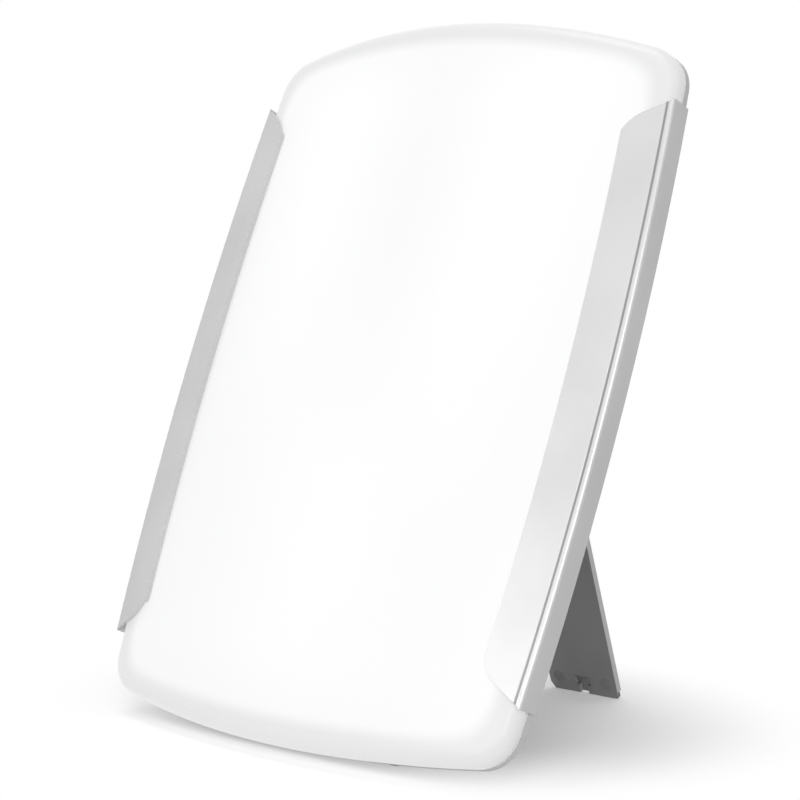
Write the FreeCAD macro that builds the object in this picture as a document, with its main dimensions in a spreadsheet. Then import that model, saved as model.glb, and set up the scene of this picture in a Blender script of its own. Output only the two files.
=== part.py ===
import FreeCAD, Part
import math
import os
import re
import Sketcher

Vector = FreeCAD.Vector

# Driving sizes in millimetres and degrees. In panel coordinates X runs across the panel,
# Y up along it and Z out of its lit face; Z = 0 is the plane of the rails' rear edges.
sizes = {
    "lean": 20,
    "leg_opening": 43.4,
    "rail_span": 346.4,
    "rail_bow_radius": 2380,
    "rail_length": 370,
    "rail_depth": 15.5,
    "rail_sheet": 1.5,
    "rail_bend": 2.5,
    "flange_width": 28.6,
    "flange_rise": 8.1,
    "flange_lip": 3.5,
    "flange_end_slope": 0.62,
    "flange_round_top": 27,
    "flange_round_bottom": 27,
    "panel_top": 232.7,
    "panel_bottom": 232.3,
    "top_radius": 792,
    "bottom_radius": 908,
    "corner_top": 27,
    "corner_bottom": 25,
    "seam_level": 5,
    "diffuser_draft": 8,
    "side_gap": 1.5,
    "crown_level": 34.5,
    "crown_gap": 0.4,
    "rim_radius": 9,
    "shell_wall": 2.5,
    "skirt_low": 0.5,
    "rear_depth": 25,
    "rear_inset": 22,
    "recess_width": 76,
    "recess_depth": 9,
    "recess_top": 152,
    "hinge_up": 140.7,
    "hinge_back": 20.5,
    "pin_radius": 2,
    "pin_clearance": 0.05,
    "barrel_radius": 4.2,
    "barrel_half": 33,
    "bracket_thickness": 3.6,
    "bracket_height": 13,
    "leg_sheet": 1.5,
    "leg_depth": 4.5,
    "leg_foot_half": 28.8,
    "leg_top_half": 33,
    "stop_gap": 0.15,
    "shoe_drop": 1,
    "shoe_height": 20,
    "shoe_width": 12.5,
    "shoe_thickness": 4,
    "shoe_offset": 20.3,
    "stud_up": 10.4,
    "stud_radius": 4.5,
    "notch_half": 6.6,
    "notch_neck_half": 3.6,
    "notch_neck": 6.5,
    "notch_height": 7,
    "notch_wall": 1.5,
    "foot_chamfer": 3,
    "foot_chamfer_rise": 5,
    "floor_gap": 4,
    "foot_offset": 60,
    "foot_radius": 6,
    "foot_level": 16,
    "reflector_gap": 5.5,
    "reflector_top": 205,
    "reflector_sheet": 1,
    "reflector_level": 3,
    "boss_radius": 4.5,
    "boss_inset": 15,
    "boss_drop": 20,
    "rim_boss_radius": 4.5,
    "rim_boss_inset": 23.2,
    "rim_boss_y": 95,
    "screw_radius": 1.5,
    "screw_hole_radius": 1.8,
    "screw_head_radius": 3.2,
    "screw_head_height": 2.2,
    "screw_seat": 15,
    "screw_reach": 6,
    "lamp_x": 78,
    "lamp_level": 9.5,
    "tube_radius": 8.75,
    "tube_spacing": 21.5,
    "lamp_length": 391,
    "bridge_radius": 4,
    "bridge_down": 14,
    "base_length": 24,
    "base_width": 43,
    "base_thickness": 22,
    "holder_length": 15,
    "holder_low": 221,
    "holder_width": 46,
    "lamp_pin_radius": 1.2,
    "lamp_pin_length": 6.5,
    "lamp_pin_spacing": 9,
    "clip_y": 170,
    "clip_width": 10,
    "clip_sheet": 1,
    "clip_height": 14,
    "clip_clearance": 0.2,
    "ballast_x": 85,
    "ballast_width": 40,
    "ballast_height": 16,
    "ballast_half": 115,
    "ballast_tab": 13,
    "tab_sheet": 1.2,
    "tab_rise": 4,
    "panel_fit": 0.2,
    "plate_sheet": 1.5,
    "inlet_x": 85,
    "inlet_y": 165,
    "inlet_width": 26,
    "inlet_height": 18,
    "inlet_depth": 15,
    "socket_radius": 3.7,
    "socket_half": 4.3,
    "socket_depth": 12,
    "contact_radius": 1.2,
    "contact_length": 9,
    "switch_y": 115,
    "switch_depth": 14,
    "plate_margin": 2.5,
    "rocker_half": 6.4,
    "rocker_side": 10.6,
    "rocker_gap": 0.8,
    "rocker_level": 22.5,
    "rocker_rise": 4.6,
    "rocker_crease": 3.4,
    "rocker_tilt": 7,
    "pivot_radius": 1.5,
    "keyhole_x": 52,
    "keyhole_y": 165,
    "keyhole_radius": 4.5,
    "keyhole_slot": 2.3,
    "keyhole_rise": 11,
    "vent_first": 68,
    "vent_pitch": 8,
    "vent_low": 139,
    "vent_high": 172,
    "vent_radius": 1.5,
}
vent_count = 7

# Sizes that follow from the driving ones: places between the rails, how high the hinge
# stands, how long the leg must be for its shoes to meet the floor, where its foot folds to.
derived = {
    "recess_half": "=recess_width / 2",
    "rim_boss_x": "=rail_span / 2 - rim_boss_inset",
    "reflector_half": "=rim_boss_x - rim_boss_radius - reflector_gap",
    "boss_x": "=reflector_half - boss_inset",
    "boss_y": "=reflector_top - boss_drop",
    "floor_drop": "=panel_bottom * cos(lean) - seam_level * sin(lean) + floor_gap",
    "leg_reach": "=(hinge_up * cos(lean) - hinge_back * sin(lean) + floor_drop"
                 " + leg_sheet * sin(leg_opening - lean)) / cos(leg_opening - lean) - shoe_drop",
    "leg_foot": "=leg_reach - hinge_up",
    "stop_lip": "=(hinge_back - rear_depth + recess_depth - stop_gap) / sin(leg_opening)",
}

doc = FreeCAD.newDocument("light_therapy_lamp")
sheet = doc.addObject("Spreadsheet::Sheet", "Sizes")
cells = {alias: str(amount) for alias, amount in sizes.items()}
cells.update(derived)
for row, (alias, text) in enumerate(cells.items(), start=1):
    sheet.set("A%d" % row, alias)
    sheet.set("B%d" % row, text)
    sheet.setAlias("B%d" % row, alias)
doc.recompute()


def bind(text):
    """Point each size named in an expression at its cell."""
    return re.sub(r"[a-z][a-z_]*", lambda word: "Sizes." + word[0] if word[0] in cells else word[0], text)


def size(alias):
    return float(sheet.get(alias))


def box(name, spans, corner):
    piece = doc.addObject("Part::Box", name)
    for side, text in zip(("Length", "Width", "Height"), spans):
        piece.setExpression(side, bind(text))
    for axis, text in zip("xyz", corner):
        piece.setExpression("Placement.Base." + axis, bind(text))
    return piece


turns = {
    "x": FreeCAD.Rotation(Vector(0, 1, 0), 90),
    "y": FreeCAD.Rotation(Vector(1, 0, 0), -90),
    "z": FreeCAD.Rotation(),
}


def cylinder(name, radius, height, base, along="z"):
    piece = doc.addObject("Part::Cylinder", name)
    piece.Placement = FreeCAD.Placement(Vector(), turns[along])
    piece.setExpression("Radius", bind(radius))
    piece.setExpression("Height", bind(height))
    for axis, text in zip("xyz", base):
        piece.setExpression("Placement.Base." + axis, bind(text))
    return piece


def joined(name, pieces):
    result = doc.addObject("Part::MultiFuse", name)
    result.Shapes = pieces
    return result


def cut(name, base, tools):
    result = doc.addObject("Part::Cut", name)
    result.Base = base
    result.Tool = tools[0] if len(tools) == 1 else joined(name + "_tools", tools)
    return result


def group(name, pieces):
    result = doc.addObject("Part::Compound", name)
    result.Links = pieces
    return result


def solid(name, shape):
    result = doc.addObject("Part::Feature", name)
    result.Shape = shape
    return result


def sketch_on(body, name, role, offset):
    sketch = body.newObject("Sketcher::SketchObject", name)
    plane = [item for item in body.Origin.OriginFeatures if item.Role == role][0]
    sketch.AttachmentSupport = (plane, [""])
    sketch.MapMode = "FlatFace"
    sketch.setExpression("AttachmentOffset.Base.z", bind(offset))
    return sketch


def fix_point(sketch, curve, end, at):
    for kind, text in zip(("DistanceX", "DistanceY"), at):
        amount = number(text)
        index = sketch.addConstraint(Sketcher.Constraint(kind, -1, 1, curve, end, amount))
        sketch.setExpression("Constraints[%d]" % index, bind(text))


def number(text):
    answer = sheet.evalExpression(text)
    return float(getattr(answer, "Value", answer))


def polygon(body, name, role, offset, corners):
    sketch = sketch_on(body, name, role, offset)
    points = [Vector(number(across), number(up), 0) for across, up in corners]
    for index, start in enumerate(points):
        sketch.addGeometry(Part.LineSegment(start, points[(index + 1) % len(points)]), False)
    for index in range(len(points)):
        following = (index + 1) % len(points)
        sketch.addConstraint(Sketcher.Constraint("Coincident", index, 2, following, 1))
    for index, corner in enumerate(corners):
        fix_point(sketch, index, 1, corner)
    return sketch


def circles(body, name, role, offset, centres, radius):
    sketch = sketch_on(body, name, role, offset)
    for index, centre in enumerate(centres):
        at = Vector(number(centre[0]), number(centre[1]), 0)
        sketch.addGeometry(Part.Circle(at, Vector(0, 0, 1), number(radius)), False)
        fix_point(sketch, index, 3, centre)
        ring = sketch.addConstraint(Sketcher.Constraint("Radius", index, number(radius)))
        sketch.setExpression("Constraints[%d]" % ring, bind(radius))
    return sketch


def feature(body, kind, name, sketch, length, reverse=False):
    """Pad or pocket a sketch; a reversed pad grows against the plane's normal."""
    doc.recompute()
    step = body.newObject("PartDesign::" + kind, name)
    step.Profile = sketch
    step.setExpression("Length", bind(length))
    step.Reversed = reverse
    doc.recompute()
    return step


def arc(centre, radius, start, end, level):
    angles = (start, (start + end) / 2, end)
    points = [Vector(centre[0] + radius * math.cos(angle), centre[1] + radius * math.sin(angle), level)
              for angle in angles]
    return Part.Arc(*points).toShape()


def meet(first, first_radius, second, second_radius, sign):
    """The crossing of two circles that lies furthest up (sign 1) or down (sign -1)."""
    gap = math.dist(first, second)
    along = (first_radius ** 2 - second_radius ** 2 + gap ** 2) / (2 * gap)
    aside = math.sqrt(first_radius ** 2 - along ** 2)
    ux = (second[0] - first[0]) / gap
    uy = (second[1] - first[1]) / gap
    options = [(first[0] + along * ux + side * aside * uy, first[1] + along * uy - side * aside * ux)
               for side in (1, -1)]
    return max(options, key=lambda point: sign * point[1])


rail_radius = size("rail_bow_radius")
rail_bow = rail_radius - math.sqrt(rail_radius ** 2 - (size("rail_length") / 2) ** 2)
side_centre = (size("rail_span") / 2 - rail_radius, 0)

# The crowned front passes just under the rails' lips where the rails end.
lip_level = size("rail_depth") + size("flange_rise") - size("flange_lip")
lip_end = size("rail_span") / 2 - rail_bow - size("flange_width")
crown_drop = size("crown_level") - lip_level + size("crown_gap")
crown_radius = (lip_end ** 2 + crown_drop ** 2) / (2 * crown_drop)


def outline(level, inset=0, side_gap=0):
    """The panel's outline: two bowed sides, arched top and bottom, four round corners."""
    side_radius = rail_radius - size("rail_sheet") - side_gap
    top_centre = (0, size("panel_top") - size("top_radius"))
    bottom_centre = (0, size("bottom_radius") - size("panel_bottom"))
    corner_top = size("corner_top")
    corner_bottom = size("corner_bottom")
    upper = meet(side_centre, side_radius - corner_top, top_centre, size("top_radius") - corner_top, 1)
    lower = meet(side_centre, side_radius - corner_bottom,
                 bottom_centre, size("bottom_radius") - corner_bottom, -1)
    side_up = math.atan2(upper[1], upper[0] - side_centre[0])
    side_down = -math.atan2(lower[1], lower[0] - side_centre[0])
    top_from = math.atan2(upper[1] - top_centre[1], upper[0])
    bottom_from = -math.atan2(lower[1] - bottom_centre[1], lower[0])
    half = math.pi
    edges = [
        arc(side_centre, side_radius - inset, -side_down, side_up, level),
        arc(upper, corner_top - inset, side_up, top_from, level),
        arc(top_centre, size("top_radius") - inset, top_from, half - top_from, level),
        arc((-upper[0], upper[1]), corner_top - inset, half - top_from, half - side_up, level),
        arc((-side_centre[0], 0), side_radius - inset, half - side_up, half + side_down, level),
        arc((-lower[0], lower[1]), corner_bottom - inset, half + side_down, half + bottom_from, level),
        arc(bottom_centre, size("bottom_radius") - inset, half + bottom_from,
            2 * half - bottom_from, level),
        arc(lower, corner_bottom - inset, 2 * half - bottom_from, 2 * half - side_down, level),
    ]
    return Part.Wire(edges)


def prism(wire, height):
    return Part.Face(wire).extrude(Vector(0, 0, height))


def upright(radius, x, y, low, high):
    return Part.makeCylinder(radius, high - low, Vector(x, y, low))


def corners_of(x, y):
    return [(side * x, end * y) for side in (-1, 1) for end in (-1, 1)]


seam = size("seam_level")
wall = size("shell_wall")
rear = -size("rear_depth")
floor_inside = rear + wall
rim_bosses = corners_of(size("rim_boss_x"), size("rim_boss_y"))
reflector_bosses = corners_of(size("boss_x"), size("boss_y"))


def tub(inset):
    """A block with drafted walls under the crowned front, its rim rounded."""
    ceiling = size("crown_level") + wall
    growth = (ceiling - seam) * math.tan(math.radians(size("diffuser_draft")))
    lower = outline(seam, inset, size("side_gap"))
    upper = outline(ceiling, inset - growth, size("side_gap"))
    block = Part.makeLoft([lower, upper], True, True)
    radius = crown_radius - inset
    axis_level = size("crown_level") - crown_radius
    reach = math.asin((size("rail_span") / 2 + size("flange_width")) / radius)
    bow = [Vector(radius * math.sin(turn), -2 * size("panel_top"), axis_level + radius * math.cos(turn))
           for turn in (-reach, 0, reach)]
    base = [Vector(point.x, point.y, seam - wall) for point in (bow[2], bow[0])]
    section = Part.Wire([Part.Arc(*bow).toShape(), Part.LineSegment(bow[2], base[0]).toShape(),
                         Part.LineSegment(*base).toShape(), Part.LineSegment(base[1], bow[0]).toShape()])
    crown = Part.Face(section).extrude(Vector(0, 4 * size("panel_top"), 0))
    block = block.common(crown)
    front = max(block.Faces, key=lambda face: face.CenterOfMass.z)
    return block.makeFillet(size("rim_radius") - inset, front.OuterWire.Edges)


diffuser_outer = tub(0)
diffuser_shape = diffuser_outer.cut(tub(wall))
posts = [upright(size("rim_boss_radius"), x, y, seam, size("crown_level")) for x, y in rim_bosses]
diffuser_shape = diffuser_shape.fuse([post.common(diffuser_outer) for post in posts])
pilots = [upright(size("screw_radius"), x, y, seam, seam + size("screw_reach")) for x, y in rim_bosses]
diffuser_shape = diffuser_shape.cut(pilots)
diffuser = solid("diffuser", diffuser_shape)

# The rear housing: a skirt under the seam, tapered sides and a flat back with a long
# recess for the folded leg.
skirt = size("skirt_low")
taper_depth = skirt - rear
taper = size("rear_inset") / taper_depth
inner_inset = taper * (skirt - floor_inside) + wall * math.hypot(1, taper)
housing_outer = prism(outline(skirt), seam - skirt)
housing_outer = housing_outer.fuse(
    Part.makeLoft([outline(skirt), outline(rear, size("rear_inset"))], True, True)).removeSplitter()
housing_inner = prism(outline(skirt, wall), seam - skirt)
housing_inner = housing_inner.fuse(
    Part.makeLoft([outline(skirt, wall), outline(floor_inside, inner_inset)], True, True))
recess_half = size("recess_half")
recess_level = rear + size("recess_depth")
beyond = 2 * size("panel_bottom")


def recess(margin):
    return Part.makeBox(2 * (recess_half + margin), beyond + size("recess_top") + margin,
                        beyond, Vector(-recess_half - margin, -beyond, recess_level + margin - beyond))


housing_whole = housing_outer.cut(recess(0))
housing_shape = housing_whole.cut(housing_inner.cut(recess(wall)))
ballast_bosses = [(size("ballast_x"), end * (size("ballast_half") + size("ballast_tab") / 2))
                  for end in (-1, 1)]
bosses = [upright(size("boss_radius"), x, y, floor_inside - wall / 2,
                  -size("reflector_level") - size("reflector_sheet")) for x, y in reflector_bosses]
bosses += [upright(size("rim_boss_radius"), x, y, rear, seam) for x, y in rim_bosses]
bosses += [upright(size("boss_radius"), x, y, floor_inside - wall / 2,
                   floor_inside + size("tab_rise")) for x, y in ballast_bosses]
housing_shape = housing_shape.fuse([boss.common(housing_whole) for boss in bosses])


def stadium(x, low, high, radius):
    """An upright slot with round ends, cut right through the housing's back."""
    start = rear - wall
    pieces = [upright(radius, x, y, start, floor_inside + wall / 2) for y in (low, high)]
    pieces.append(Part.makeBox(2 * radius, high - low, floor_inside + wall / 2 - start,
                               Vector(x - radius, low, start)))
    return pieces


def window(x, y):
    width = size("inlet_width") + 2 * size("panel_fit")
    height = size("inlet_height") + 2 * size("panel_fit")
    return Part.makeBox(width, height, 3 * wall, Vector(x - width / 2, y - height / 2, rear - wall))


hollows = [window(-size("inlet_x"), -size("inlet_y")), window(-size("inlet_x"), -size("switch_y"))]
for x, y in reflector_bosses:
    hollows.append(upright(size("screw_radius"), x, y, floor_inside + wall, 0))
for x, y in ballast_bosses:
    hollows.append(upright(size("screw_radius"), x, y, floor_inside, 0))
for x, y in rim_bosses:
    hollows.append(upright(size("screw_hole_radius"), x, y, rear, seam))
    hollows.append(upright(size("screw_head_radius") + size("panel_fit"), x, y,
                           rear, -size("screw_seat")))
for side in (-1, 1):
    for index in range(vent_count):
        x = side * (size("vent_first") + index * size("vent_pitch"))
        hollows += stadium(x, size("vent_low"), size("vent_high"), size("vent_radius"))
    x = side * size("keyhole_x")
    hollows += stadium(x, size("keyhole_y"), size("keyhole_y") + size("keyhole_rise"),
                       size("keyhole_slot"))
    hollows.append(upright(size("keyhole_radius"), x, size("keyhole_y"), rear - wall,
                           floor_inside + wall / 2))
for hollow in hollows:
    housing_shape = housing_shape.cut(hollow)
rear_housing = solid("rear_housing", housing_shape)


def rail(name, side):
    """A bent sheet: side face, front flange and a short lip, bowed along its length."""
    sheet_gauge = size("rail_sheet")
    outer = size("rail_span") / 2
    depth = size("rail_depth")
    inner = outer - size("flange_width")
    front = depth + size("flange_rise")
    slope = size("flange_rise") / size("flange_width")
    drop = sheet_gauge * math.hypot(1, slope)
    section = [
        (outer, 0), (outer, depth), (inner, front),
        (inner, lip_level), (inner + sheet_gauge, lip_level),
        (inner + sheet_gauge, front - sheet_gauge * slope - drop),
        (outer - sheet_gauge, depth + sheet_gauge * slope - drop), (outer - sheet_gauge, 0),
    ]
    points = [Vector(x, 0, level) for x, level in section]
    face = Part.Face(Part.makePolygon(points + points[:1]))
    centre = Vector(side_centre[0], 0, 0)
    sweep = math.degrees(math.asin(size("rail_length") / 2 / rail_radius))
    face.rotate(centre, Vector(0, 0, 1), -sweep)
    shape = face.revolve(centre, Vector(0, 0, 1), 2 * sweep)
    half = size("rail_length") / 2
    ends = ((1, size("flange_round_top")), (-1, size("flange_round_bottom")))
    inner_end = inner - rail_bow
    outer_end = outer - rail_bow - sheet_gauge
    for end, radius in ends:
        corner = Vector(inner_end, half - size("flange_end_slope") * size("flange_width"), 0)
        start = Vector(outer_end, half - size("flange_end_slope") * sheet_gauge, 0)
        along = (start - corner).normalize()
        turn = math.acos(along.y)
        reach = radius * math.tan((math.pi - turn) / 2) if turn > math.pi / 2 else \
            radius / math.tan((math.pi - turn) / 2)
        first = corner + along * reach
        last = corner - Vector(0, reach, 0)
        middle_way = (along - Vector(0, 1, 0)).normalize()
        heart = corner + middle_way * math.hypot(radius, reach)
        middle = heart - middle_way * radius
        far = half + size("flange_width")
        loop = [
            Part.LineSegment(start, first).toShape(),
            Part.Arc(first, middle, last).toShape(),
            Part.LineSegment(last, last - Vector(sheet_gauge * 3, 0, 0)).toShape(),
            Part.LineSegment(last - Vector(sheet_gauge * 3, 0, 0),
                             Vector(last.x - sheet_gauge * 3, far, 0)).toShape(),
            Part.LineSegment(Vector(last.x - sheet_gauge * 3, far, 0),
                             Vector(outer_end, far, 0)).toShape(),
            Part.LineSegment(Vector(outer_end, far, 0), start).toShape(),
        ]
        tool = Part.Face(Part.Wire(loop)).extrude(Vector(0, 0, front))
        tool.translate(Vector(0, 0, depth - drop))
        if end < 0:
            tool = tool.mirror(Vector(), Vector(0, 1, 0))
        shape = shape.cut(tool)
    bends = [edge for edge in shape.Edges
             if abs(edge.BoundBox.ZMax - depth) < 0.01 and edge.Length > half]
    shape = shape.makeFillet(size("rail_bend"), bends)
    if side < 0:
        shape = shape.mirror(Vector(), Vector(1, 0, 0))
    return solid(name, shape)


right_rail = rail("right_rail", 1)
left_rail = rail("left_rail", -1)

# Reflector sheet on its four bosses, with the screws that hold it.
reflector = doc.addObject("PartDesign::Body", "reflector")
plate = polygon(reflector, "reflector_plate", "XY_Plane", "-reflector_level", [
    ("-reflector_half", "-reflector_top"), ("reflector_half", "-reflector_top"),
    ("reflector_half", "reflector_top"), ("-reflector_half", "reflector_top")])
feature(reflector, "Pad", "reflector_sheet_pad", plate, "reflector_sheet", True)
spots = [("boss_x", "boss_y"), ("-boss_x", "boss_y"), ("-boss_x", "-boss_y"), ("boss_x", "-boss_y")]
holes = circles(reflector, "reflector_holes", "XY_Plane", "reflector_sheet", spots, "screw_hole_radius")
feature(reflector, "Pocket", "reflector_hole_cut", holes,
        "2 * reflector_sheet + reflector_level + reflector_sheet")


def screws(name, places, head_level, shank, facing=1):
    """Pan-head screws; facing 1 puts the heads towards the lit face."""
    pieces = []
    for index, (x, y) in enumerate(places):
        label = "%s_%d" % (name, index + 1)
        low_shank = "%s - (%s)" % (head_level, shank) if facing > 0 else head_level
        low_head = head_level if facing > 0 else "%s - screw_head_height" % head_level
        stem = cylinder(label + "_stem", "screw_radius", shank, (x, y, low_shank))
        head = cylinder(label + "_head", "screw_head_radius", "screw_head_height", (x, y, low_head))
        pieces.append(joined(label, [stem, head]))
    return group(name, pieces)


reflector_screws = screws("reflector_screws", spots, "-reflector_level", "boss_radius * 2")
rim_spots = [("rim_boss_x", "rim_boss_y"), ("-rim_boss_x", "rim_boss_y"),
             ("-rim_boss_x", "-rim_boss_y"), ("rim_boss_x", "-rim_boss_y")]
housing_screws = screws("housing_screws", rim_spots, "-screw_seat",
                        "screw_seat + seam_level + screw_reach - screw_radius", -1)

# Two long twin-tube lamps, each with a base, a holder below it and a clip near its top.
nodes = {}
for count, sign in ((1, "-1"), (2, "1")):
    middle = "%s * lamp_x" % sign
    base_top = "base_length + holder_length - holder_low"
    tubes = []
    for index, way in enumerate(("-1", "1")):
        at = (middle + " + %s * tube_spacing / 2" % way, base_top, "lamp_level")
        tubes.append(cylinder("tube_%d_%d" % (count, index), "tube_radius", "lamp_length", at, "y"))
    tubes.append(cylinder("bridge_%d" % count, "bridge_radius", "tube_spacing",
                          (middle + " - tube_spacing / 2", base_top + " + lamp_length - bridge_down",
                           "lamp_level"), "x"))
    nodes["lamp_%d_tubes" % count] = joined("lamp_%d_tubes" % count, tubes)
    base = box("base_block_%d" % count, ("base_width", "base_length", "base_thickness"),
               (middle + " - base_width / 2", "holder_length - holder_low",
                "lamp_level - base_thickness / 2"))
    pins = []
    sockets = []
    for index in range(4):
        at = (middle + " + %s * lamp_pin_spacing" % (index - 1.5),
              "holder_length - holder_low - lamp_pin_length", "lamp_level")
        pins.append(cylinder("pin_%d_%d" % (count, index), "lamp_pin_radius",
                             "lamp_pin_length + base_length / 4", at, "y"))
        sockets.append(cylinder("pin_hole_%d_%d" % (count, index), "lamp_pin_radius",
                                "lamp_pin_length", at, "y"))
    nodes["lamp_%d_base" % count] = joined("lamp_%d_base" % count, [base] + pins)
    holder = box("holder_block_%d" % count,
                 ("holder_width", "holder_length", "base_thickness / 2 + lamp_level + reflector_level"),
                 (middle + " - holder_width / 2", "-holder_low", "-reflector_level"))
    nodes["lampholder_%d" % count] = cut("lampholder_%d" % count, holder, sockets)
    reach = "tube_spacing / 2 + tube_radius + clip_clearance"
    clip = [box("clip_plate_%d" % count, ("2 * (%s + clip_sheet)" % reach, "clip_width", "clip_sheet"),
                (middle + " - (%s + clip_sheet)" % reach, "clip_y", "-reflector_level"))]
    for index, start in enumerate(("-(%s + clip_sheet)" % reach, reach)):
        clip.append(box("clip_arm_%d_%d" % (count, index), ("clip_sheet", "clip_width", "clip_height"),
                        (middle + " + " + start, "clip_y", "-reflector_level")))
    nodes["lamp_clip_%d" % count] = joined("lamp_clip_%d" % count, clip)

# Ballast with a tab at each end, screwed to its bosses.
ballast_body = box("ballast_case", ("ballast_width", "2 * ballast_half", "ballast_height"),
                   ("ballast_x - ballast_width / 2", "-ballast_half", "shell_wall - rear_depth"))
ballast_tabs = box("ballast_tabs", ("ballast_width", "2 * (ballast_half + ballast_tab)", "tab_sheet"),
                   ("ballast_x - ballast_width / 2", "-(ballast_half + ballast_tab)",
                    "shell_wall - rear_depth + tab_rise"))
tab_spots = [("ballast_x", "%s * (ballast_half + ballast_tab / 2)" % end) for end in ("-1", "1")]
tab_holes = [cylinder("ballast_hole_%d" % index, "screw_radius", "3 * tab_sheet",
                      (x, y, "shell_wall - rear_depth + tab_rise - tab_sheet"))
             for index, (x, y) in enumerate(tab_spots)]
nodes["ballast"] = cut("ballast", joined("ballast_solid", [ballast_body, ballast_tabs]), tab_holes)
nodes["ballast_screws"] = screws("ballast_screws", tab_spots,
                                 "shell_wall - rear_depth + tab_rise + tab_sheet",
                                 "tab_sheet + tab_rise - screw_radius / 5")


def panel_plate(name, y, depth):
    """A flanged block that fills one of the two windows in the housing's back."""
    block = box(name + "_block", ("inlet_width", "inlet_height", depth),
                ("-inlet_x - inlet_width / 2", y + " - inlet_height / 2", "-rear_depth"))
    flange = box(name + "_flange", ("inlet_width + 2 * plate_margin", "inlet_height + 2 * plate_margin",
                                    "plate_sheet"),
                 ("-inlet_x - inlet_width / 2 - plate_margin",
                  y + " - inlet_height / 2 - plate_margin", "-rear_depth - plate_sheet"))
    return joined(name + "_solid", [block, flange])


# Two-contact mains inlet, its socket open to the rear.
mouth = "-rear_depth - plate_sheet"
socket = [cylinder("socket_%d" % index, "socket_radius", "socket_depth",
                   ("-inlet_x + %s * socket_half" % way, "-inlet_y", mouth))
          for index, way in enumerate(("-1", "1"))]
socket.append(box("socket_middle", ("2 * socket_half", "2 * socket_radius", "socket_depth"),
                  ("-inlet_x - socket_half", "-inlet_y - socket_radius", mouth)))
inlet_shell = cut("inlet_shell", panel_plate("inlet", "-inlet_y", "inlet_depth"), socket)
contacts = [cylinder("contact_%d" % index, "contact_radius", "contact_length + plate_sheet",
                     ("-inlet_x + %s * socket_half" % way, "-inlet_y",
                      mouth + " + socket_depth - contact_length"))
            for index, way in enumerate(("-1", "1"))]
nodes["mains_inlet"] = joined("mains_inlet", [inlet_shell] + contacts)

# Rocker switch: a frame with two pivot holes and the rocker that tips in it.
cavity = box("switch_cavity", ("2 * (rocker_side + rocker_gap)", "2 * (rocker_half + rocker_gap)",
                               "switch_depth"),
             ("-inlet_x - rocker_side - rocker_gap", "-switch_y - rocker_half - rocker_gap", mouth))
pivot_hole = cylinder("pivot_hole", "pivot_radius + pin_clearance", "inlet_width",
                      ("-inlet_x - inlet_width / 2", "-switch_y", "-rocker_level"), "x")
nodes["switch_frame"] = cut("switch_frame", panel_plate("switch", "-switch_y", "switch_depth"),
                            [cavity, pivot_hole])
rocker = doc.addObject("PartDesign::Body", "switch_rocker")
rocker_profile = polygon(rocker, "rocker_profile", "YZ_Plane", "-inlet_x - rocker_side", [
    ("-switch_y - rocker_half", "-rocker_level - rocker_rise - 0.6"),
    ("-switch_y", "-rocker_level - rocker_crease"),
    ("-switch_y + rocker_half", "-rocker_level - rocker_rise - 0.6"),
    ("-switch_y + rocker_half", "-rocker_level + pivot_radius"),
    ("-switch_y", "-rocker_level + pivot_radius + 1.5"),
    ("-switch_y - rocker_half", "-rocker_level + pivot_radius")])
feature(rocker, "Pad", "rocker_key", rocker_profile, "2 * rocker_side")
pivot = circles(rocker, "rocker_pivot", "YZ_Plane", "-inlet_x - rocker_side - 2 * rocker_gap",
                [("-switch_y", "-rocker_level")], "pivot_radius")
feature(rocker, "Pad", "rocker_shaft", pivot, "2 * rocker_side + 4 * rocker_gap")

# The leg, drawn folded: a tapered sheet with turned edges, a barrel round the pin, a lip
# above it that meets the recess and stops the leg, a blind notch and two stud holes at its
# foot.
leg = doc.addObject("PartDesign::Body", "leg")
top = "hinge_up + stop_lip"
foot = "-leg_foot"
face_level = "-hinge_back"
leg_plate = polygon(leg, "leg_plate", "XY_Plane", face_level, [
    ("-leg_top_half", top), ("-leg_foot_half", foot + " + foot_chamfer_rise"),
    ("foot_chamfer - leg_foot_half", foot), ("leg_foot_half - foot_chamfer", foot),
    ("leg_foot_half", foot + " + foot_chamfer_rise"), ("leg_top_half", top)])
feature(leg, "Pad", "leg_sheet_pad", leg_plate, "leg_sheet", True)
for index, way in enumerate(("-1", "1")):
    edge = polygon(leg, "leg_edge_%d" % index, "XY_Plane", face_level, [
        (way + " * leg_top_half", top), (way + " * leg_foot_half", foot + " + foot_chamfer_rise"),
        (way + " * (leg_foot_half - leg_sheet)", foot + " + foot_chamfer_rise"),
        (way + " * (leg_top_half - leg_sheet)", top)])
    feature(leg, "Pad", "leg_edge_pad_%d" % index, edge, "leg_depth", True)
barrel = circles(leg, "barrel", "YZ_Plane", "-barrel_half", [("hinge_up", face_level)], "barrel_radius")
feature(leg, "Pad", "barrel_pad", barrel, "2 * barrel_half")
bore = circles(leg, "bore", "YZ_Plane", "barrel_half + leg_sheet", [("hinge_up", face_level)],
               "pin_radius + pin_clearance")
feature(leg, "Pocket", "bore_cut", bore, "2 * (barrel_half + leg_sheet)")
notch_block = polygon(leg, "notch_block", "XY_Plane", face_level, [
    ("-notch_half - notch_wall", foot), ("notch_half + notch_wall", foot),
    ("notch_half + notch_wall", foot + " + notch_neck + notch_height + notch_wall"),
    ("-notch_half - notch_wall", foot + " + notch_neck + notch_height + notch_wall")])
feature(leg, "Pad", "notch_block_pad", notch_block, "leg_depth", True)
notch = polygon(leg, "notch", "XY_Plane", "-hinge_back + leg_sheet", [
    ("-notch_neck_half", foot + " - leg_sheet"), ("notch_neck_half", foot + " - leg_sheet"),
    ("notch_neck_half", foot + " + notch_neck"), ("notch_half", foot + " + notch_neck"),
    ("notch_half", foot + " + notch_neck + notch_height"),
    ("-notch_half", foot + " + notch_neck + notch_height"),
    ("-notch_half", foot + " + notch_neck"), ("-notch_neck_half", foot + " + notch_neck")])
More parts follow.
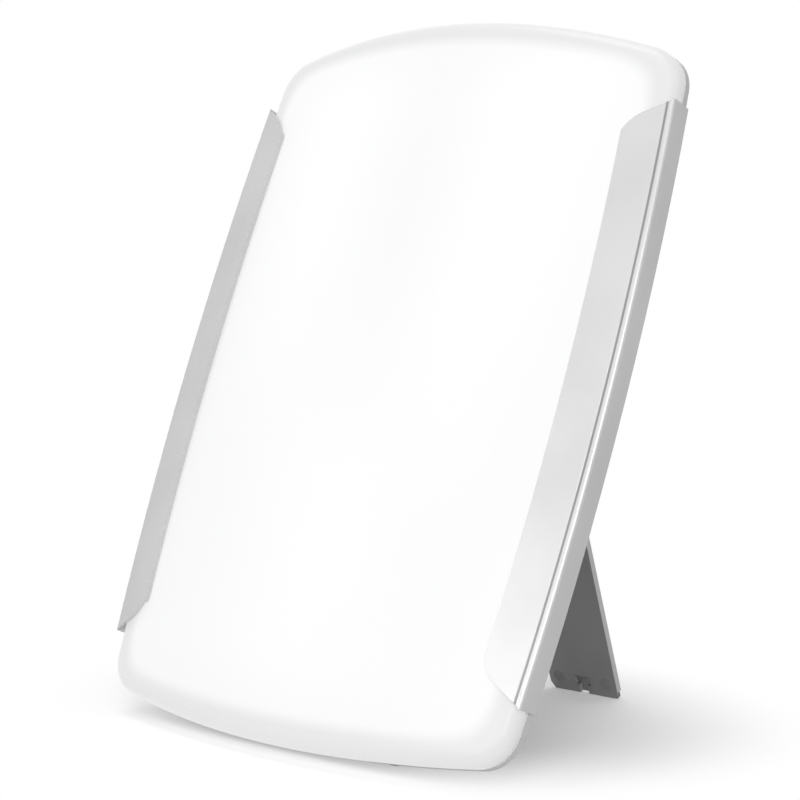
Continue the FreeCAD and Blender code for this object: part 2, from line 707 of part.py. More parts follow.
feature(leg, "Pocket", "notch_cut", notch, "leg_depth")
stud_spots = [("-shoe_offset", foot + " + stud_up"), ("shoe_offset", foot + " + stud_up")]
studs = circles(leg, "stud_holes", "XY_Plane", "-hinge_back + leg_sheet", stud_spots, "stud_radius")
feature(leg, "Pocket", "stud_hole_cut", studs, "3 * leg_sheet")

# Rubber shoes behind the leg's foot, each with a stud that fills its hole.
shoes = []
for index, (x, y) in enumerate(stud_spots):
    shoe = box("shoe_%d" % index, ("shoe_width", "shoe_height", "shoe_thickness"),
               (x + " - shoe_width / 2", foot + " - shoe_drop",
                "-hinge_back - leg_sheet - shoe_thickness"))
    stud = cylinder("stud_%d" % index, "stud_radius", "leg_sheet", (x, y, "-hinge_back - leg_sheet"))
    shoes.append(joined("leg_foot_%d" % index, [shoe, stud]))
leg_feet = group("leg_feet", shoes)

# Hinge pin and the two brackets that carry it at the recess's side walls.
pin = cylinder("pin", "pin_radius", "2 * recess_half", ("-recess_half", "hinge_up", "-hinge_back"), "x")
nodes["hinge_pin"] = group("hinge_pin", [pin])
brackets = []
for index, corner in enumerate(("-recess_half", "recess_half - bracket_thickness")):
    block = box("bracket_block_%d" % index,
                ("bracket_thickness", "bracket_height", "recess_depth"),
                (corner, "hinge_up - bracket_height / 2", "-rear_depth"))
    hole = cylinder("bracket_hole_%d" % index, "pin_radius", "2 * recess_half",
                    ("-recess_half", "hinge_up", "-hinge_back"), "x")
    brackets.append(cut("bracket_%d" % index, block, [hole]))
nodes["hinge_brackets"] = group("hinge_brackets", brackets)

# Upright rubber feet under the housing's lower edge, ending on the floor.
lean = math.radians(size("lean"))
down = Vector(0, -math.cos(lean), -math.sin(lean))
pegs = []
for side in (-1, 1):
    start = Vector(side * size("foot_offset"), 0, -size("foot_level"))
    near = size("panel_bottom") - size("foot_offset") ** 2 / (2 * size("bottom_radius"))
    start.y = -near + taper * (size("foot_level") + skirt) + size("foot_radius") * 1.5
    length = size("floor_drop") - start.dot(down)
    peg = Part.makeCylinder(size("foot_radius"), length, start, down)
    pegs.append(peg.cut(housing_outer))
base_feet = solid("base_feet", Part.Compound([max(peg.Solids, key=lambda part: part.Volume)
                                              for peg in pegs]))

nodes.update({
    "diffuser": diffuser, "rear_housing": rear_housing, "left_rail": left_rail,
    "right_rail": right_rail, "reflector": reflector, "reflector_screws": reflector_screws,
    "housing_screws": housing_screws, "switch_rocker": rocker, "leg": leg, "leg_feet": leg_feet,
    "base_feet": base_feet,
})

# Stand the panel on the floor at its lean, open the leg and tip the rocker, then put the
# origin under the middle of the whole.
doc.recompute()
upright_turn = FreeCAD.Rotation(Vector(1, 0, 0), 90 - size("lean"))
tilt = FreeCAD.Placement(Vector(0, 0, size("floor_drop")), upright_turn)


def turned(y, level, angle):
    """A turn about a line parallel to X through the point (y, level) of the panel."""
    spin = FreeCAD.Rotation(Vector(1, 0, 0), angle)
    return tilt.multiply(FreeCAD.Placement(Vector(), spin, Vector(0, y, level)))


homes = {name: tilt for name in nodes}
homes["leg"] = homes["leg_feet"] = turned(size("hinge_up"), -size("hinge_back"), size("leg_opening"))
homes["switch_rocker"] = turned(-size("switch_y"), -size("rocker_level"), -size("rocker_tilt"))
for name, node in nodes.items():
    node.Label = name
    node.Placement = homes[name]
doc.recompute()
reaches = [node.Shape.optimalBoundingBox(False, False) for node in nodes.values()]
middle = (min(reach.YMin for reach in reaches) + max(reach.YMax for reach in reaches)) / 2
for name, node in nodes.items():
    node.Placement = FreeCAD.Placement(Vector(0, -middle, 0), FreeCAD.Rotation()).multiply(homes[name])
doc.recompute()
home = FreeCAD.Placement(Vector(0, -middle, 0), FreeCAD.Rotation()).multiply(tilt)

for item in doc.Objects:
    if "Invalid" in item.State or "Error" in item.State:
        raise RuntimeError("%s failed: %s" % (item.Name, item.State))
os.makedirs("parts", exist_ok=True)
for name, node in sorted(nodes.items()):
    shape = node.Shape
    if shape.isNull() or not shape.isValid():
        raise RuntimeError("%s has no valid shape" % name)
    shape.exportStep("parts/%s.step" % name)
    reach = shape.optimalBoundingBox(False, False)
    print("%-18s solids %2d volume %10.1f  x %7.1f %7.1f  y %7.1f %7.1f  z %7.1f %7.1f" % (
        name, len(shape.Solids), shape.Volume, reach.XMin, reach.XMax, reach.YMin, reach.YMax,
        reach.ZMin, reach.ZMax))
mouth_level = rear - size("plate_sheet")
places = {
    "leg_hinge": (0, size("hinge_up"), -size("hinge_back")),
    "rocker_hinge": (-size("inlet_x"), -size("switch_y"), -size("rocker_level")),
    "inlet_mouth": (-size("inlet_x"), -size("inlet_y"), mouth_level),
    "inlet_inside": (-size("inlet_x"), -size("inlet_y"), mouth_level + size("socket_depth") / 2),
    "keyhole": (size("keyhole_x"), size("keyhole_y"), rear),
    "recess": (0, 0, recess_level - size("recess_depth") / 2),
    "seam_centre": (0, 0, 0),
}
for name, place in places.items():
    at = home.multVec(Vector(*place))
    print("place %s %.3f %.3f %.3f" % (name, at.x, at.y, at.z))
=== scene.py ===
import bpy
import bmesh
import math
from mathutils import Matrix, Vector


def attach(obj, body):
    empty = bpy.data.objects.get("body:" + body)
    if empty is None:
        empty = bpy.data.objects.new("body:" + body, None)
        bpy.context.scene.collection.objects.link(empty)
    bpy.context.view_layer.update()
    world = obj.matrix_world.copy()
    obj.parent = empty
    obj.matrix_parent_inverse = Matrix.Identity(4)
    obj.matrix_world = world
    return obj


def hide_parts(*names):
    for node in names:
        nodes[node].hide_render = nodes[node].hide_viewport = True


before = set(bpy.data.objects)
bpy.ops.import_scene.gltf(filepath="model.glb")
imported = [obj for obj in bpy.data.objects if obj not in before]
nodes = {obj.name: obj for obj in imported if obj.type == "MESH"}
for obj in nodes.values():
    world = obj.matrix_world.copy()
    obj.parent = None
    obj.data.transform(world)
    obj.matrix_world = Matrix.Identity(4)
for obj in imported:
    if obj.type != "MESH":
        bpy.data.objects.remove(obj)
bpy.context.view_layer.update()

print("frame loaded:", len(nodes), "nodes")

# Where the panel lies in the room: its centre, its lean and the leg's hinge, in metres and degrees.
panelPlace = {"centre": (0.0, -0.056018, 0.22058), "tilt": 70.0, "hingeUp": 0.1407,
              "hingeBack": 0.0205, "legOpening": 43.4, "footUp": -0.23572}


def turnedAboutX(angle):
    return Matrix.Rotation(math.radians(angle), 4, "X")


panelMatrix = Matrix.Translation(panelPlace["centre"]) @ turnedAboutX(panelPlace["tilt"])
hinge = Matrix.Translation((0, panelPlace["hingeUp"], -panelPlace["hingeBack"]))
legMatrix = panelMatrix @ hinge @ turnedAboutX(panelPlace["legOpening"]) @ hinge.inverted()


# Small helpers for shader nodes.
def addNode(tree, kind, **values):
    node = tree.nodes.new(kind)
    for key, value in values.items():
        setattr(node, key, value)
    return node


def mathNode(tree, operation, first, second=0.0, third=0.0):
    node = addNode(tree, "ShaderNodeMath", operation=operation)
    for socket, value in zip(node.inputs, (first, second, third)):
        if isinstance(value, bpy.types.NodeSocket):
            tree.links.new(value, socket)
        else:
            socket.default_value = value
    return node.outputs[0]


def product(tree, first, second):
    return mathNode(tree, "MULTIPLY", first, second)


def bell(tree, value):
    return mathNode(tree, "EXPONENT", product(tree, product(tree, value, value), -1.0))


def rangeNode(tree, value, low, high, start=0.0, end=1.0):
    node = addNode(tree, "ShaderNodeMapRange", interpolation_type="SMOOTHSTEP")
    tree.links.new(value, node.inputs["Value"])
    for name, amount in (("From Min", low), ("From Max", high), ("To Min", start), ("To Max", end)):
        node.inputs[name].default_value = amount
    return node.outputs["Result"]


def groupWith(name, inputs, outputs):
    group = bpy.data.node_groups.new(name, "ShaderNodeTree")
    for label, kind, value in inputs:
        socket = group.interface.new_socket(label, in_out="INPUT", socket_type=kind)
        if value is not None:
            socket.default_value = value
    for label, kind in outputs:
        group.interface.new_socket(label, in_out="OUTPUT", socket_type=kind)
    return group, group.nodes.new("NodeGroupInput"), group.nodes.new("NodeGroupOutput")


# Grain: fine surface texture and a slow drift of tone, used by every moulded or painted finish.
def makeGrain():
    group, source, sink = groupWith(
        "surfaceGrain",
        [("Vector", "NodeSocketVector", None), ("Fine Scale", "NodeSocketFloat", 900.0),
         ("Slow Scale", "NodeSocketFloat", 12.0), ("Streak", "NodeSocketFloat", 1.0)],
        [("Height", "NodeSocketFloat"), ("Tone", "NodeSocketFloat")])
    stretch = addNode(group, "ShaderNodeCombineXYZ")
    stretch.inputs[0].default_value = 1.0
    stretch.inputs[2].default_value = 1.0
    group.links.new(source.outputs["Streak"], stretch.inputs[1])
    scaled = addNode(group, "ShaderNodeVectorMath", operation="MULTIPLY")
    group.links.new(source.outputs["Vector"], scaled.inputs[0])
    group.links.new(stretch.outputs[0], scaled.inputs[1])
    fine = addNode(group, "ShaderNodeTexNoise")
    fine.inputs["Detail"].default_value = 3.0
    group.links.new(scaled.outputs[0], fine.inputs["Vector"])
    group.links.new(source.outputs["Fine Scale"], fine.inputs["Scale"])
    slow = addNode(group, "ShaderNodeTexNoise")
    slow.inputs["Detail"].default_value = 4.0
    group.links.new(source.outputs["Vector"], slow.inputs["Vector"])
    group.links.new(source.outputs["Slow Scale"], slow.inputs["Scale"])
    group.links.new(fine.outputs[0], sink.inputs["Height"])
    group.links.new(slow.outputs[0], sink.inputs["Tone"])
    return group


grain = makeGrain()
# How far the grain's noise swings, and how deep its bumps are in metres.
grainSwing = (0.3, 0.7)
grainDepth = 0.0002


def addGrainBump(tree, shader, height, strength):
    bump = addNode(tree, "ShaderNodeBump")
    bump.inputs["Strength"].default_value = strength
    bump.inputs["Distance"].default_value = grainDepth
    tree.links.new(height, bump.inputs["Height"])
    tree.links.new(bump.outputs[0], shader.inputs["Normal"])


finishes = {
    "housingPlastic": {"dark": (0.50, 0.50, 0.50), "light": (0.55, 0.55, 0.55),
                       "rough": (0.42, 0.55),
                       "metal": 0.0, "fine": 1400.0, "slow": 9.0, "streak": 1.0, "bump": 0.10},
    "railSilver": {"dark": (0.52, 0.52, 0.52), "light": (0.56, 0.56, 0.56), "rough": (0.30, 0.40),
                   "metal": 0.2, "fine": 2600.0, "slow": 14.0, "streak": 1.0, "bump": 0.06},
    # The leg's paint is set dark as painted shade under the panel; its sideways faces get a lighter
    # silver as painted light.
    "legPaintWithPaintedShade": {"dark": (0.25, 0.25, 0.25), "light": (0.29, 0.29, 0.29), "rough": (0.38, 0.5),
                 "metal": 0.3, "fine": 2200.0, "slow": 11.0, "streak": 1.0, "bump": 0.08},
    "rubberGrey": {"dark": (0.25, 0.25, 0.25), "light": (0.28, 0.28, 0.28), "rough": (0.7, 0.85),
                   "metal": 0.0, "fine": 1800.0, "slow": 25.0, "streak": 1.0, "bump": 0.2},
    "rubberBlack": {"dark": (0.030, 0.030, 0.031), "light": (0.050, 0.050, 0.052),
                    "rough": (0.7, 0.85),
                    "metal": 0.0, "fine": 1800.0, "slow": 25.0, "streak": 1.0, "bump": 0.2},
    "switchBlack": {"dark": (0.018, 0.018, 0.019), "light": (0.028, 0.028, 0.030),
                    "rough": (0.28, 0.4),
                    "metal": 0.0, "fine": 1600.0, "slow": 30.0, "streak": 1.0, "bump": 0.12},
    "plainSteel": {"dark": (0.52, 0.52, 0.52), "light": (0.64, 0.64, 0.63), "rough": (0.25, 0.4),
                   "metal": 1.0, "fine": 700.0, "slow": 20.0, "streak": 0.05, "bump": 0.12},
    "reflectorWhite": {"dark": (0.80, 0.80, 0.80), "light": (0.86, 0.86, 0.86),
                       "rough": (0.25, 0.35),
                       "metal": 0.0, "fine": 900.0, "slow": 8.0, "streak": 1.0, "bump": 0.04},
    "lampWhite": {"dark": (0.80, 0.80, 0.79), "light": (0.87, 0.87, 0.86), "rough": (0.2, 0.35),
                  "metal": 0.0, "fine": 1200.0, "slow": 15.0, "streak": 1.0, "bump": 0.05},
}


def makeFinish(name, values):
    material = bpy.data.materials.new(name)
    material.use_nodes = True
    tree = material.node_tree
    shader = tree.nodes["Principled BSDF"]
    place = addNode(tree, "ShaderNodeTexCoord")
    texture = addNode(tree, "ShaderNodeGroup", node_tree=grain)
    tree.links.new(place.outputs["Object"], texture.inputs["Vector"])
    texture.inputs["Fine Scale"].default_value = values["fine"]
    texture.inputs["Slow Scale"].default_value = values["slow"]
    texture.inputs["Streak"].default_value = values["streak"]
    mix = addNode(tree, "ShaderNodeMix", data_type="RGBA")
    tone = rangeNode(tree, texture.outputs["Tone"], *grainSwing)
    tree.links.new(tone, mix.inputs["Factor"])
    mix.inputs[6].default_value = (*values["dark"], 1)
    mix.inputs[7].default_value = (*values["light"], 1)
    tree.links.new(mix.outputs[2], shader.inputs["Base Color"])
    tree.links.new(rangeNode(tree, texture.outputs["Height"], *grainSwing, *values["rough"]),
                   shader.inputs["Roughness"])
    shader.inputs["Metallic"].default_value = values["metal"]
    addGrainBump(tree, shader, texture.outputs["Height"], values["bump"])
    return material


finish = {name: makeFinish(name, values) for name, values in finishes.items()}


# How far a point of the panel lies inside a circle.
def arcDistance(tree, across, acrossCentre, up, upCentre, radius):
    x = mathNode(tree, "SUBTRACT", across, acrossCentre)
    y = mathNode(tree, "SUBTRACT", up, upCentre)
    squares = mathNode(tree, "ADD", product(tree, x, x), product(tree, y, y))
    return mathNode(tree, "SUBTRACT", radius, mathNode(tree, "SQRT", squares))


def panelCoordinates(tree):
    coordinates = addNode(tree, "ShaderNodeTexCoord")
    lie = addNode(tree, "ShaderNodeMapping", vector_type="TEXTURE")
    lie.inputs["Location"].default_value = panelPlace["centre"]
    lie.inputs["Rotation"].default_value = (math.radians(panelPlace["tilt"]), 0, 0)
    tree.links.new(coordinates.outputs["Object"], lie.inputs["Vector"])
    split = addNode(tree, "ShaderNodeSeparateXYZ")
    tree.links.new(lie.outputs[0], split.inputs[0])
    return coordinates, split


# The right rail's bend gets a fine dark band of painted shade, with a slight dent bump.
paintedGrooveShade = {"centre": 2.2068, "radius": 2.380, "near": 0.0034, "far": 0.0048, "soft": 0.0003,
          "front": 0.0148, "shade": 0.42, "strength": 0.6, "depth": 0.0004}


def addPaintedGrooveShade(material, values):
    tree = material.node_tree
    shader = tree.nodes["Principled BSDF"]
    split = panelCoordinates(tree)[1]
    side = mathNode(tree, "ABSOLUTE", split.outputs[0])
    inward = arcDistance(tree, side, -values["centre"], split.outputs[1], 0.0, values["radius"])
    near, far, soft = values["near"], values["far"], values["soft"]
    enter = rangeNode(tree, inward, near - soft, near + soft)
    leave = rangeNode(tree, inward, far - soft, far + soft, 1.0, 0.0)
    onFront = mathNode(tree, "GREATER_THAN", split.outputs[2], values["front"])
    grooveShadeBand = product(tree, product(tree, enter, leave), onFront)
    # Multiply the base colour darker inside the band: painted shade along the bend.
    shade = addNode(tree, "ShaderNodeMix", data_type="RGBA", blend_type="MULTIPLY")
    tree.links.new(grooveShadeBand, shade.inputs["Factor"])
    tree.links.new(shader.inputs["Base Color"].links[0].from_socket, shade.inputs[6])
    shade.inputs[7].default_value = (*[values["shade"]] * 3, 1)
    tree.links.new(shade.outputs[2], shader.inputs["Base Color"])
    dent = addNode(tree, "ShaderNodeBump", invert=True)
    dent.inputs["Strength"].default_value = values["strength"]
    dent.inputs["Distance"].default_value = values["depth"]
    tree.links.new(grooveShadeBand, dent.inputs["Height"])
    tree.links.new(shader.inputs["Normal"].links[0].from_socket, dent.inputs["Normal"])
    tree.links.new(dent.outputs[0], shader.inputs["Normal"])


# The right rail wears a copy of the rail silver that carries the painted shade band.
finish["railWithPaintedGrooveShade"] = makeFinish("railWithPaintedGrooveShade", finishes["railSilver"])
addPaintedGrooveShade(finish["railWithPaintedGrooveShade"], paintedGrooveShade)
print("finishes made:", len(finish))

# The lit front: two soft lobes over the lamps at the top, one broad patch below, a calm rim.
glow = {"base": 0.20, "mottle": 1.06, "rough": (0.34, 0.46), "fine": 1800.0, "bump": 0.05,
        "sheen": 0.3, "tint": (0.996, 1.0, 1.0), "face": 0.68, "lobe": 0.045, "rim": 0.55,
        "wall": 0.51, "lampX": 0.078, "lobeWidth": 0.05, "patchWidth": 0.085, "turnover": 0.12,
        "ends": (0.175, 0.236), "sideArc": (2.207, 2.3795), "topArc": (0.5593, 0.7958),
        "bottomArc": (0.6757, 0.9118), "band": (0.011, 0.022), "blend": 0.035,
        "frontFacing": (0.62, 0.965), "wallFacing": (0.0, 0.6)}


def makeDiffuser(values):
    material = bpy.data.materials.new("litDiffuser")
    material.use_nodes = True
    tree = material.node_tree
    shader = tree.nodes["Principled BSDF"]
    coordinates, split = panelCoordinates(tree)
    across, up = split.outputs[0], split.outputs[1]
    aside = mathNode(tree, "ABSOLUTE", across)
    fromLamp = mathNode(tree, "SUBTRACT", aside, values["lampX"])
    lobe = bell(tree, mathNode(tree, "DIVIDE", fromLamp, values["lobeWidth"]))
    patch = bell(tree, mathNode(tree, "DIVIDE", across, values["patchWidth"]))
    upper = rangeNode(tree, up, -values["turnover"], values["turnover"])
    lower = mathNode(tree, "SUBTRACT", 1.0, upper)
    pattern = mathNode(tree, "ADD", product(tree, lobe, upper), product(tree, patch, lower))
    ends = rangeNode(tree, mathNode(tree, "ABSOLUTE", up), *values["ends"], 1.0, 0.0)
    face = mathNode(tree, "MULTIPLY_ADD", product(tree, pattern, ends), values["lobe"],
                    values["face"])
    facing = addNode(tree, "ShaderNodeVectorMath", operation="DOT_PRODUCT")
    tree.links.new(coordinates.outputs["Normal"], facing.inputs[0])
    facing.inputs[1].default_value = panelMatrix.to_3x3() @ Vector((0, 0, 1))
    sideArc, topArc, bottomArc = values["sideArc"], values["topArc"], values["bottomArc"]
    fromSide = arcDistance(tree, aside, -sideArc[0], up, 0.0, sideArc[1])
    fromTop = arcDistance(tree, across, 0.0, up, -topArc[0], topArc[1])
    fromBottom = arcDistance(tree, across, 0.0, up, bottomArc[0], bottomArc[1])
    fromEnd = mathNode(tree, "MINIMUM", fromTop, fromBottom)
    fromEdge = mathNode(tree, "SMOOTH_MIN", fromSide, fromEnd, values["blend"])
    inside = rangeNode(tree, fromEdge, *values["band"])
    turnedFront = rangeNode(tree, facing.outputs["Value"], *values["frontFacing"])
    frontness = product(tree, turnedFront, inside)
    edgeLight = rangeNode(tree, facing.outputs["Value"], *values["wallFacing"],
                          values["wall"], values["rim"])
    onFace = product(tree, face, frontness)
    onRim = product(tree, edgeLight, mathNode(tree, "SUBTRACT", 1.0, frontness))
    light = mathNode(tree, "ADD", onFace, onRim)
    colour = addNode(tree, "ShaderNodeCombineColor")
    for index, share in enumerate(values["tint"]):
        tree.links.new(product(tree, light, share), colour.inputs[index])
    tree.links.new(colour.outputs[0], shader.inputs["Emission Color"])
    shader.inputs["Emission Strength"].default_value = 1.0
    texture = addNode(tree, "ShaderNodeGroup", node_tree=grain)
    tree.links.new(coordinates.outputs["Object"], texture.inputs["Vector"])
    texture.inputs["Fine Scale"].default_value = values["fine"]
    mix = addNode(tree, "ShaderNodeMix", data_type="RGBA")
    tree.links.new(texture.outputs["Tone"], mix.inputs["Factor"])
    mix.inputs[6].default_value = (*[values["base"]] * 3, 1)
    mix.inputs[7].default_value = (*[values["base"] * values["mottle"]] * 3, 1)
    tree.links.new(mix.outputs[2], shader.inputs["Base Color"])
    tree.links.new(rangeNode(tree, texture.outputs["Height"], *grainSwing, *values["rough"]),
                   shader.inputs["Roughness"])
    shader.inputs["Specular IOR Level"].default_value = values["sheen"]
    addGrainBump(tree, shader, texture.outputs["Height"], values["bump"])
    return material


finish["litDiffuser"] = makeDiffuser(glow)
print("diffuser finish made")

# Which finish each solid wears, and the large ones that get smooth faces and soft edges.
wears = {
    "diffuser": "litDiffuser", "rear_housing": "housingPlastic", "left_rail": "railSilver",
    "right_rail": "railWithPaintedGrooveShade", "leg": "legPaintWithPaintedShade", "leg_feet": "rubberGrey",
    "base_feet": "rubberBlack",
    "mains_inlet": "switchBlack", "switch_frame": "switchBlack", "switch_rocker": "switchBlack",
    "hinge_pin": "plainSteel", "hinge_brackets": "plainSteel", "housing_screws": "plainSteel",
    "reflector_screws": "plainSteel", "ballast_screws": "plainSteel", "lamp_clip_1": "plainSteel",
    "lamp_clip_2": "plainSteel", "ballast": "plainSteel", "reflector": "reflectorWhite",
    "lamp_1_tubes": "lampWhite", "lamp_2_tubes": "lampWhite", "lamp_1_base": "lampWhite",
    "lamp_2_base": "lampWhite", "lampholder_1": "lampWhite", "lampholder_2": "lampWhite",
}
softened = {
    "diffuser": {"body": "panel", "bevel": 0.0, "angle": 32},
    "rear_housing": {"body": "panel", "bevel": 0.0006, "angle": 25},
    "left_rail": {"body": "panel", "bevel": 0.0006, "angle": 32},
    "right_rail": {"body": "panel", "bevel": 0.0006, "angle": 32},
    "leg": {"body": "leg", "bevel": 0.0003, "angle": 32},
    "leg_feet": {"body": "leg", "bevel": 0.0006, "angle": 32},
    "base_feet": {"body": "panel", "bevel": 0.0006, "angle": 32},
    "mains_inlet": {"body": "panel", "bevel": 0.0003, "angle": 32},
    "switch_frame": {"body": "panel", "bevel": 0.0003, "angle": 32},
    "switch_rocker": {"body": "rocker", "bevel": 0.0004, "angle": 32},
}

# Distances in metres and angles in degrees that all softened solids share.
softening = {"merge": 0.000005, "flat": 0.3, "edge": 35, "segments": 2, "paintedLightSideways": 0.98}


def soften(name, values):
    mesh = nodes[name].data.copy()
    work = bmesh.new()
    work.from_mesh(mesh)
    bmesh.ops.remove_doubles(work, verts=work.verts, dist=softening["merge"])
    bmesh.ops.dissolve_limit(work, angle_limit=math.radians(softening["flat"]),
                             verts=work.verts, edges=work.edges)
    work.to_mesh(mesh)
    work.free()
    mesh.materials.clear()
    mesh.materials.append(finish[wears[name]])
    piece = bpy.data.objects.new(name + "_soft", mesh)
    bpy.context.scene.collection.objects.link(piece)
    mesh.shade_smooth()
    mesh.set_sharp_from_angle(angle=math.radians(values["angle"]))
    if values["bevel"]:
        bevel = piece.modifiers.new("edges", "BEVEL")
        bevel.width = values["bevel"]
        bevel.segments = softening["segments"]
        bevel.limit_method = "ANGLE"
        bevel.angle_limit = math.radians(softening["edge"])
    if name == "leg":  # its sideways faces take the lighter silver as painted light, the rest keeps the darker paint as painted shade
        mesh.materials.append(finish["railSilver"])
        for face in mesh.polygons:
            face.material_index = int(abs(face.normal.x) > softening["paintedLightSideways"])
    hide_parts(name)
    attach(piece, values["body"])


for name, node in nodes.items():
    if name in softened:
        soften(name, softened[name])
    else:
        node.data.materials.clear()
        node.data.materials.append(finish[wears[name]])
print("solids dressed")

# Grip ridges on the leg's rubber shoes.
ridges = {"count": 6, "pitch": 0.0021, "radius": 0.00045, "width": 0.0105, "around": 12,
          "across": 0.0203, "up": 0.005, "back": 0.026}


def ridgeTree():
    tree = bpy.data.node_groups.new("gripRidges", "GeometryNodeTree")
    for label, kind in (("Count", "NodeSocketInt"), ("Pitch", "NodeSocketFloat"),
                        ("Radius", "NodeSocketFloat"), ("Width", "NodeSocketFloat")):
        tree.interface.new_socket(label, in_out="INPUT", socket_type=kind)
    tree.interface.new_socket("Geometry", in_out="OUTPUT", socket_type="NodeSocketGeometry")
    source = tree.nodes.new("NodeGroupInput")
    sink = tree.nodes.new("NodeGroupOutput")
    line = tree.nodes.new("GeometryNodeMeshLine")
    step = tree.nodes.new("ShaderNodeCombineXYZ")
    rod = tree.nodes.new("GeometryNodeMeshCylinder")
    rod.inputs["Vertices"].default_value = ridges["around"]
    place = tree.nodes.new("GeometryNodeInstanceOnPoints")
    place.inputs["Rotation"].default_value = (0, math.radians(90), 0)
    real = tree.nodes.new("GeometryNodeRealizeInstances")
    coat = tree.nodes.new("GeometryNodeSetMaterial")
    coat.inputs["Material"].default_value = finish["rubberGrey"]
    links = tree.links
    links.new(source.outputs["Count"], line.inputs["Count"])
    links.new(source.outputs["Pitch"], step.inputs["Y"])
    links.new(step.outputs[0], line.inputs["Offset"])
    links.new(source.outputs["Radius"], rod.inputs["Radius"])
    links.new(source.outputs["Width"], rod.inputs["Depth"])
    links.new(line.outputs["Mesh"], place.inputs["Points"])
    links.new(rod.outputs["Mesh"], place.inputs["Instance"])
    links.new(place.outputs[0], real.inputs[0])
    links.new(real.outputs[0], coat.inputs["Geometry"])
    links.new(coat.outputs[0], sink.inputs[0])
    return tree


def makeRidges(name, side, tree, values):
    holder = bpy.data.objects.new(name + "Source", bpy.data.meshes.new(name + "Source"))
    bpy.context.scene.collection.objects.link(holder)
    modifier = holder.modifiers.new("ridges", "NODES")
    modifier.node_group = tree
    wanted = {"Count": values["count"], "Pitch": values["pitch"], "Radius": values["radius"],
              "Width": values["width"]}
    for item in tree.interface.items_tree:
        if item.in_out == "INPUT":
            modifier[item.identifier] = wanted[item.name]
    view = bpy.context.evaluated_depsgraph_get()
    mesh = bpy.data.meshes.new_from_object(holder.evaluated_get(view))
    bpy.data.objects.remove(holder)
    start = (side * values["across"], panelPlace["footUp"] + values["up"], -values["back"])
    mesh.transform(legMatrix @ Matrix.Translation(start))
    piece = bpy.data.objects.new(name, mesh)
    bpy.context.scene.collection.objects.link(piece)
    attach(piece, "leg")


gripTree = ridgeTree()
for side, name in ((-1, "gripLeft"), (1, "gripRight")):
    makeRidges(name, side, gripTree, ridges)
print("grip ridges made")

# Studio: white floor and surroundings, three soft lamps.
studio = {"floorHalf": 12.0, "floorColour": (0.80, 0.80, 0.80), "floorLift": 0.22, "ambient": 0.28,
          "clearCentre": (-0.04, 0.03, 0.0), "clearStart": 0.12, "clearStop": 0.27,
          "lamps": [("keyLamp", (1.5, -1.9, 1.2), 33.0, 1.0),
                    ("frontLamp", (0.0, -1.6, 0.55), 5.0, 0.5),
                    ("topLamp", (-0.25, -0.4, 2.4), 21.0, 1.2)],
          "aim": (0, 0, 0.2)}

floorMesh = bpy.data.meshes.new("studioFloor")
half = studio["floorHalf"]
floorCorners = [(-half, -half, 0), (half, -half, 0), (half, half, 0), (-half, half, 0)]
floorMesh.from_pydata(floorCorners, [], [(0, 1, 2, 3)])
floor = bpy.data.objects.new("studioFloor", floorMesh)
bpy.context.scene.collection.objects.link(floor)
floorFinish = bpy.data.materials.new("floorPaper")
floorFinish.use_nodes = True
floorTree = floorFinish.node_tree
paper = floorTree.nodes["Principled BSDF"]
paper.inputs["Base Color"].default_value = (*studio["floorColour"], 1)
paper.inputs["Roughness"].default_value = 0.9
paper.inputs["Specular IOR Level"].default_value = 0.0
paper.inputs["Emission Color"].default_value = (1, 1, 1, 1)
seen = addNode(floorTree, "ShaderNodeLightPath")
shown = mathNode(floorTree, "MAXIMUM", seen.outputs["Is Camera Ray"], seen.outputs["Is Glossy Ray"])
lift = product(floorTree, shown, studio["floorLift"])
floorTree.links.new(lift, paper.inputs["Emission Strength"])
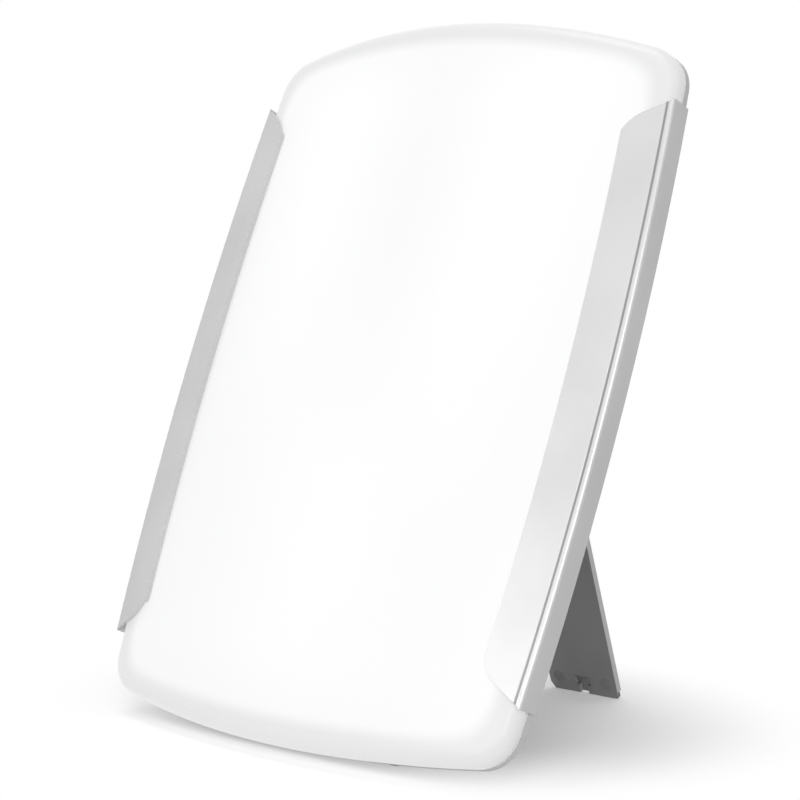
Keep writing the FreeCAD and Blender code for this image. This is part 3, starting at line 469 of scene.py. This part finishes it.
# Away from the object's shadow the paper fades to plain white.
spot = addNode(floorTree, "ShaderNodeTexCoord")
away = addNode(floorTree, "ShaderNodeVectorMath", operation="DISTANCE")
away.inputs[1].default_value = studio["clearCentre"]
floorTree.links.new(spot.outputs["Object"], away.inputs[0])
plain = addNode(floorTree, "ShaderNodeEmission")
fade = addNode(floorTree, "ShaderNodeMixShader")
clear = rangeNode(floorTree, away.outputs["Value"], studio["clearStart"], studio["clearStop"])
floorTree.links.new(product(floorTree, shown, clear), fade.inputs[0])
floorTree.links.new(paper.outputs[0], fade.inputs[1])
floorTree.links.new(plain.outputs[0], fade.inputs[2])
floorTree.links.new(fade.outputs[0], floorTree.nodes["Material Output"].inputs["Surface"])
floorMesh.materials.append(floorFinish)

world = bpy.data.worlds.new("studioWorld")
bpy.context.scene.world = world
world.use_nodes = True
worldTree = world.node_tree
background = worldTree.nodes["Background"]
background.inputs["Color"].default_value = (1, 1, 1, 1)
path = addNode(worldTree, "ShaderNodeLightPath")
mirrored = mathNode(worldTree, "MAXIMUM", path.outputs["Is Glossy Ray"],
                    path.outputs["Is Transmission Ray"])
visible = mathNode(worldTree, "MAXIMUM", path.outputs["Is Camera Ray"], mirrored)
strength = rangeNode(worldTree, visible, 0.0, 1.0, studio["ambient"], 1.0)
worldTree.links.new(strength, background.inputs["Strength"])

for name, at, power, width in studio["lamps"]:
    data = bpy.data.lights.new(name, "AREA")
    data.energy = power
    data.size = width
    lamp = bpy.data.objects.new(name, data)
    lamp.location = at
    aim = Vector(studio["aim"]) - Vector(at)
    lamp.rotation_euler = aim.to_track_quat("-Z", "Y").to_euler()
    bpy.context.scene.collection.objects.link(lamp)
print("studio lit")

# Camera, in metres and degrees.
shot = {"place": (0.89722, -1.09944, 0.29099), "turn": 40.583, "down": 3.296, "roll": 2.167,
        "lens": 99.161}
turn, down, roll = (math.radians(shot[key]) for key in ("turn", "down", "roll"))
ahead = Vector((-math.sin(turn) * math.cos(down), math.cos(turn) * math.cos(down),
                -math.sin(down)))
level = Vector((math.cos(turn), math.sin(turn), 0))
above = level.cross(ahead)
right = level * math.cos(roll) + above * math.sin(roll)
top = above * math.cos(roll) - level * math.sin(roll)
cameraData = bpy.data.cameras.new("photoCamera")
cameraData.lens = shot["lens"]
cameraData.sensor_width = 36.0
cameraData.clip_end = 60.0
camera = bpy.data.objects.new("photoCamera", cameraData)
turned = Matrix((right, top, -ahead)).transposed().to_4x4()
camera.matrix_world = Matrix.Translation(shot["place"]) @ turned
bpy.context.scene.collection.objects.link(camera)
bpy.context.scene.camera = camera
bpy.context.scene.view_settings.view_transform = "Standard"
print("camera set")
